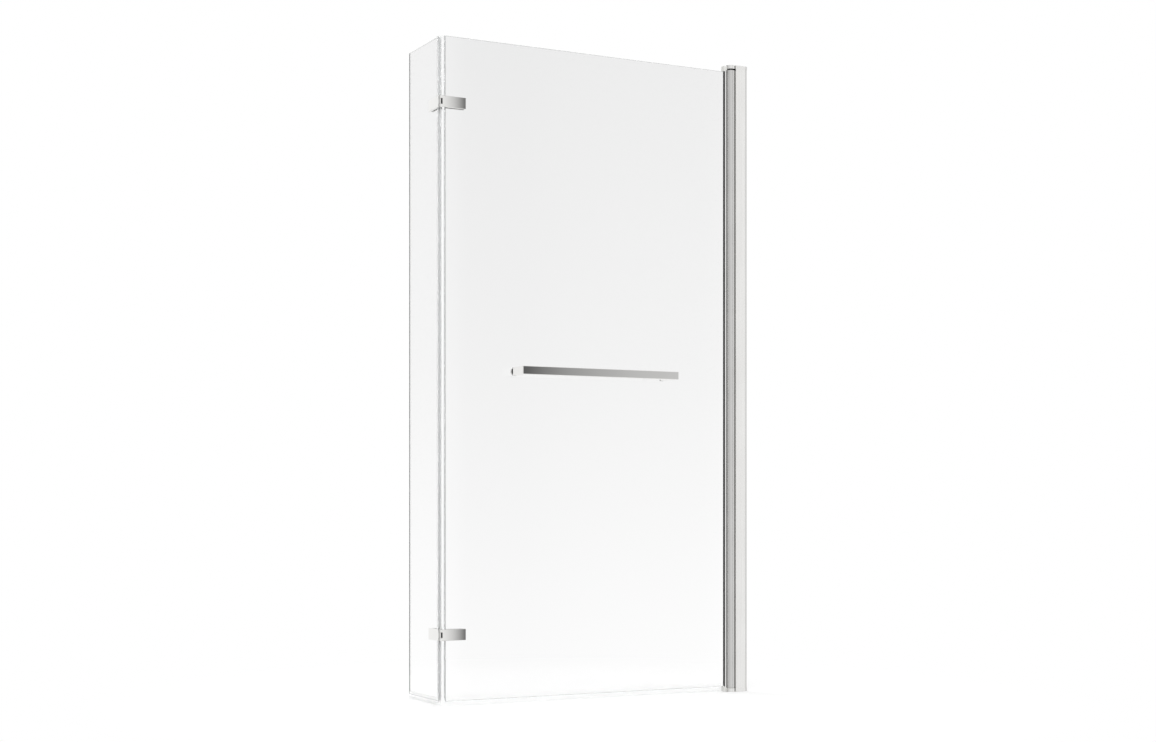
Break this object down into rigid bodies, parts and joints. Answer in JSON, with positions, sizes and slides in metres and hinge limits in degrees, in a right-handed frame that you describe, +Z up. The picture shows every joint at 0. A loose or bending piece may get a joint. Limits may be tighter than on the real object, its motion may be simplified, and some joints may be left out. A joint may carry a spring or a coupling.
{
  "type": "bath screen",
  "caption": "Pivoting clear glass bath screen on a bright wall post, with a square towel rail and a short return panel hinged at its free edge.",
  "frame": {"origin": "foot of the wall post on the bath rim, at the face of the end wall and in the middle plane of the main glass, which is 3 mm from the middle of the post", "axes": "+X into the end wall, so the main panel runs towards -X; +Y from the room side to the bath side, the way the return panel runs; +Z up"},
  "size_m": [0.759, 0.2285, 1.4265],
  "materials": {
    "bright_profile": "bright polished extrusion",
    "mill_aluminium": "plain mill finish",
    "plated_cap": "bright plated moulding",
    "chrome": "mirror chrome",
    "stainless_steel": "turned stainless steel",
    "black_rubber": "matt black",
    "clear_glass": "clear toughened, polished edges",
    "clear_seal": "clear soft extrusion",
    "clear_pad": "clear moulding",
    "white_nylon": "natural white moulding",
    "dark_nylon": "black moulding"
  },
  "bodies": {
    "wall_frame": {"wall_channel": "mill_aluminium", "wall_post": "bright_profile", "post_cap_top": "plated_cap", "post_cap_bottom": "plated_cap", "cap_screws": "stainless_steel", "post_lock_screws": "stainless_steel", "lock_screw_covers": "plated_cap", "pivot_pin_top": "stainless_steel", "pivot_pin_bottom": "stainless_steel", "thrust_washer": "white_nylon"},
    "main_screen": {"pivot_profile": "bright_profile", "pivot_plug_top": "dark_nylon", "pivot_plug_bottom": "dark_nylon", "pivot_bush_top": "dark_nylon", "pivot_bush_bottom": "dark_nylon", "glazing_cap_top": "white_nylon", "glazing_cap_bottom": "white_nylon", "glazing_gasket_outer": "black_rubber", "glazing_gasket_inner": "black_rubber", "main_glass": "clear_glass", "main_glass_sleeves": "clear_pad", "main_bottom_seal": "clear_seal", "towel_rail": "chrome", "rail_gaskets": "black_rubber", "rail_discs": "clear_pad", "rail_washers": "stainless_steel", "rail_screws": "stainless_steel", "rail_screw_covers": "chrome", "upper_main_leaf": "chrome", "lower_main_leaf": "chrome", "upper_main_clamp": "chrome", "lower_main_clamp": "chrome", "upper_main_pads": "clear_pad", "lower_main_pads": "clear_pad", "upper_hinge_pin": "stainless_steel", "lower_hinge_pin": "stainless_steel", "main_hinge_screws": "stainless_steel"},
    "return_screen": {"return_glass": "clear_glass", "return_glass_sleeves": "clear_pad", "return_bottom_seal": "clear_seal", "corner_seal_top": "clear_seal", "corner_seal_middle": "clear_seal", "corner_seal_bottom": "clear_seal", "upper_return_leaf": "chrome", "lower_return_leaf": "chrome", "upper_return_clamp": "chrome", "lower_return_clamp": "chrome", "upper_return_pads": "clear_pad", "lower_return_pads": "clear_pad", "upper_hinge_bush": "dark_nylon", "lower_hinge_bush": "dark_nylon", "return_hinge_screws": "stainless_steel"}
  },
  "joints": [
    {"name": "screen_pivot", "type": "hinge", "parent": "wall_frame", "child": "main_screen", "pos_m": [-0.0374, -0.003, 0], "axis": [0, 0, 1], "range_deg": [-75, 80]},
    {"name": "return_hinge", "type": "hinge", "parent": "main_screen", "child": "return_screen", "pos_m": [-0.754, -0.003, 0], "axis": [0, 0, 1], "range_deg": [0, 90]}
  ]
}
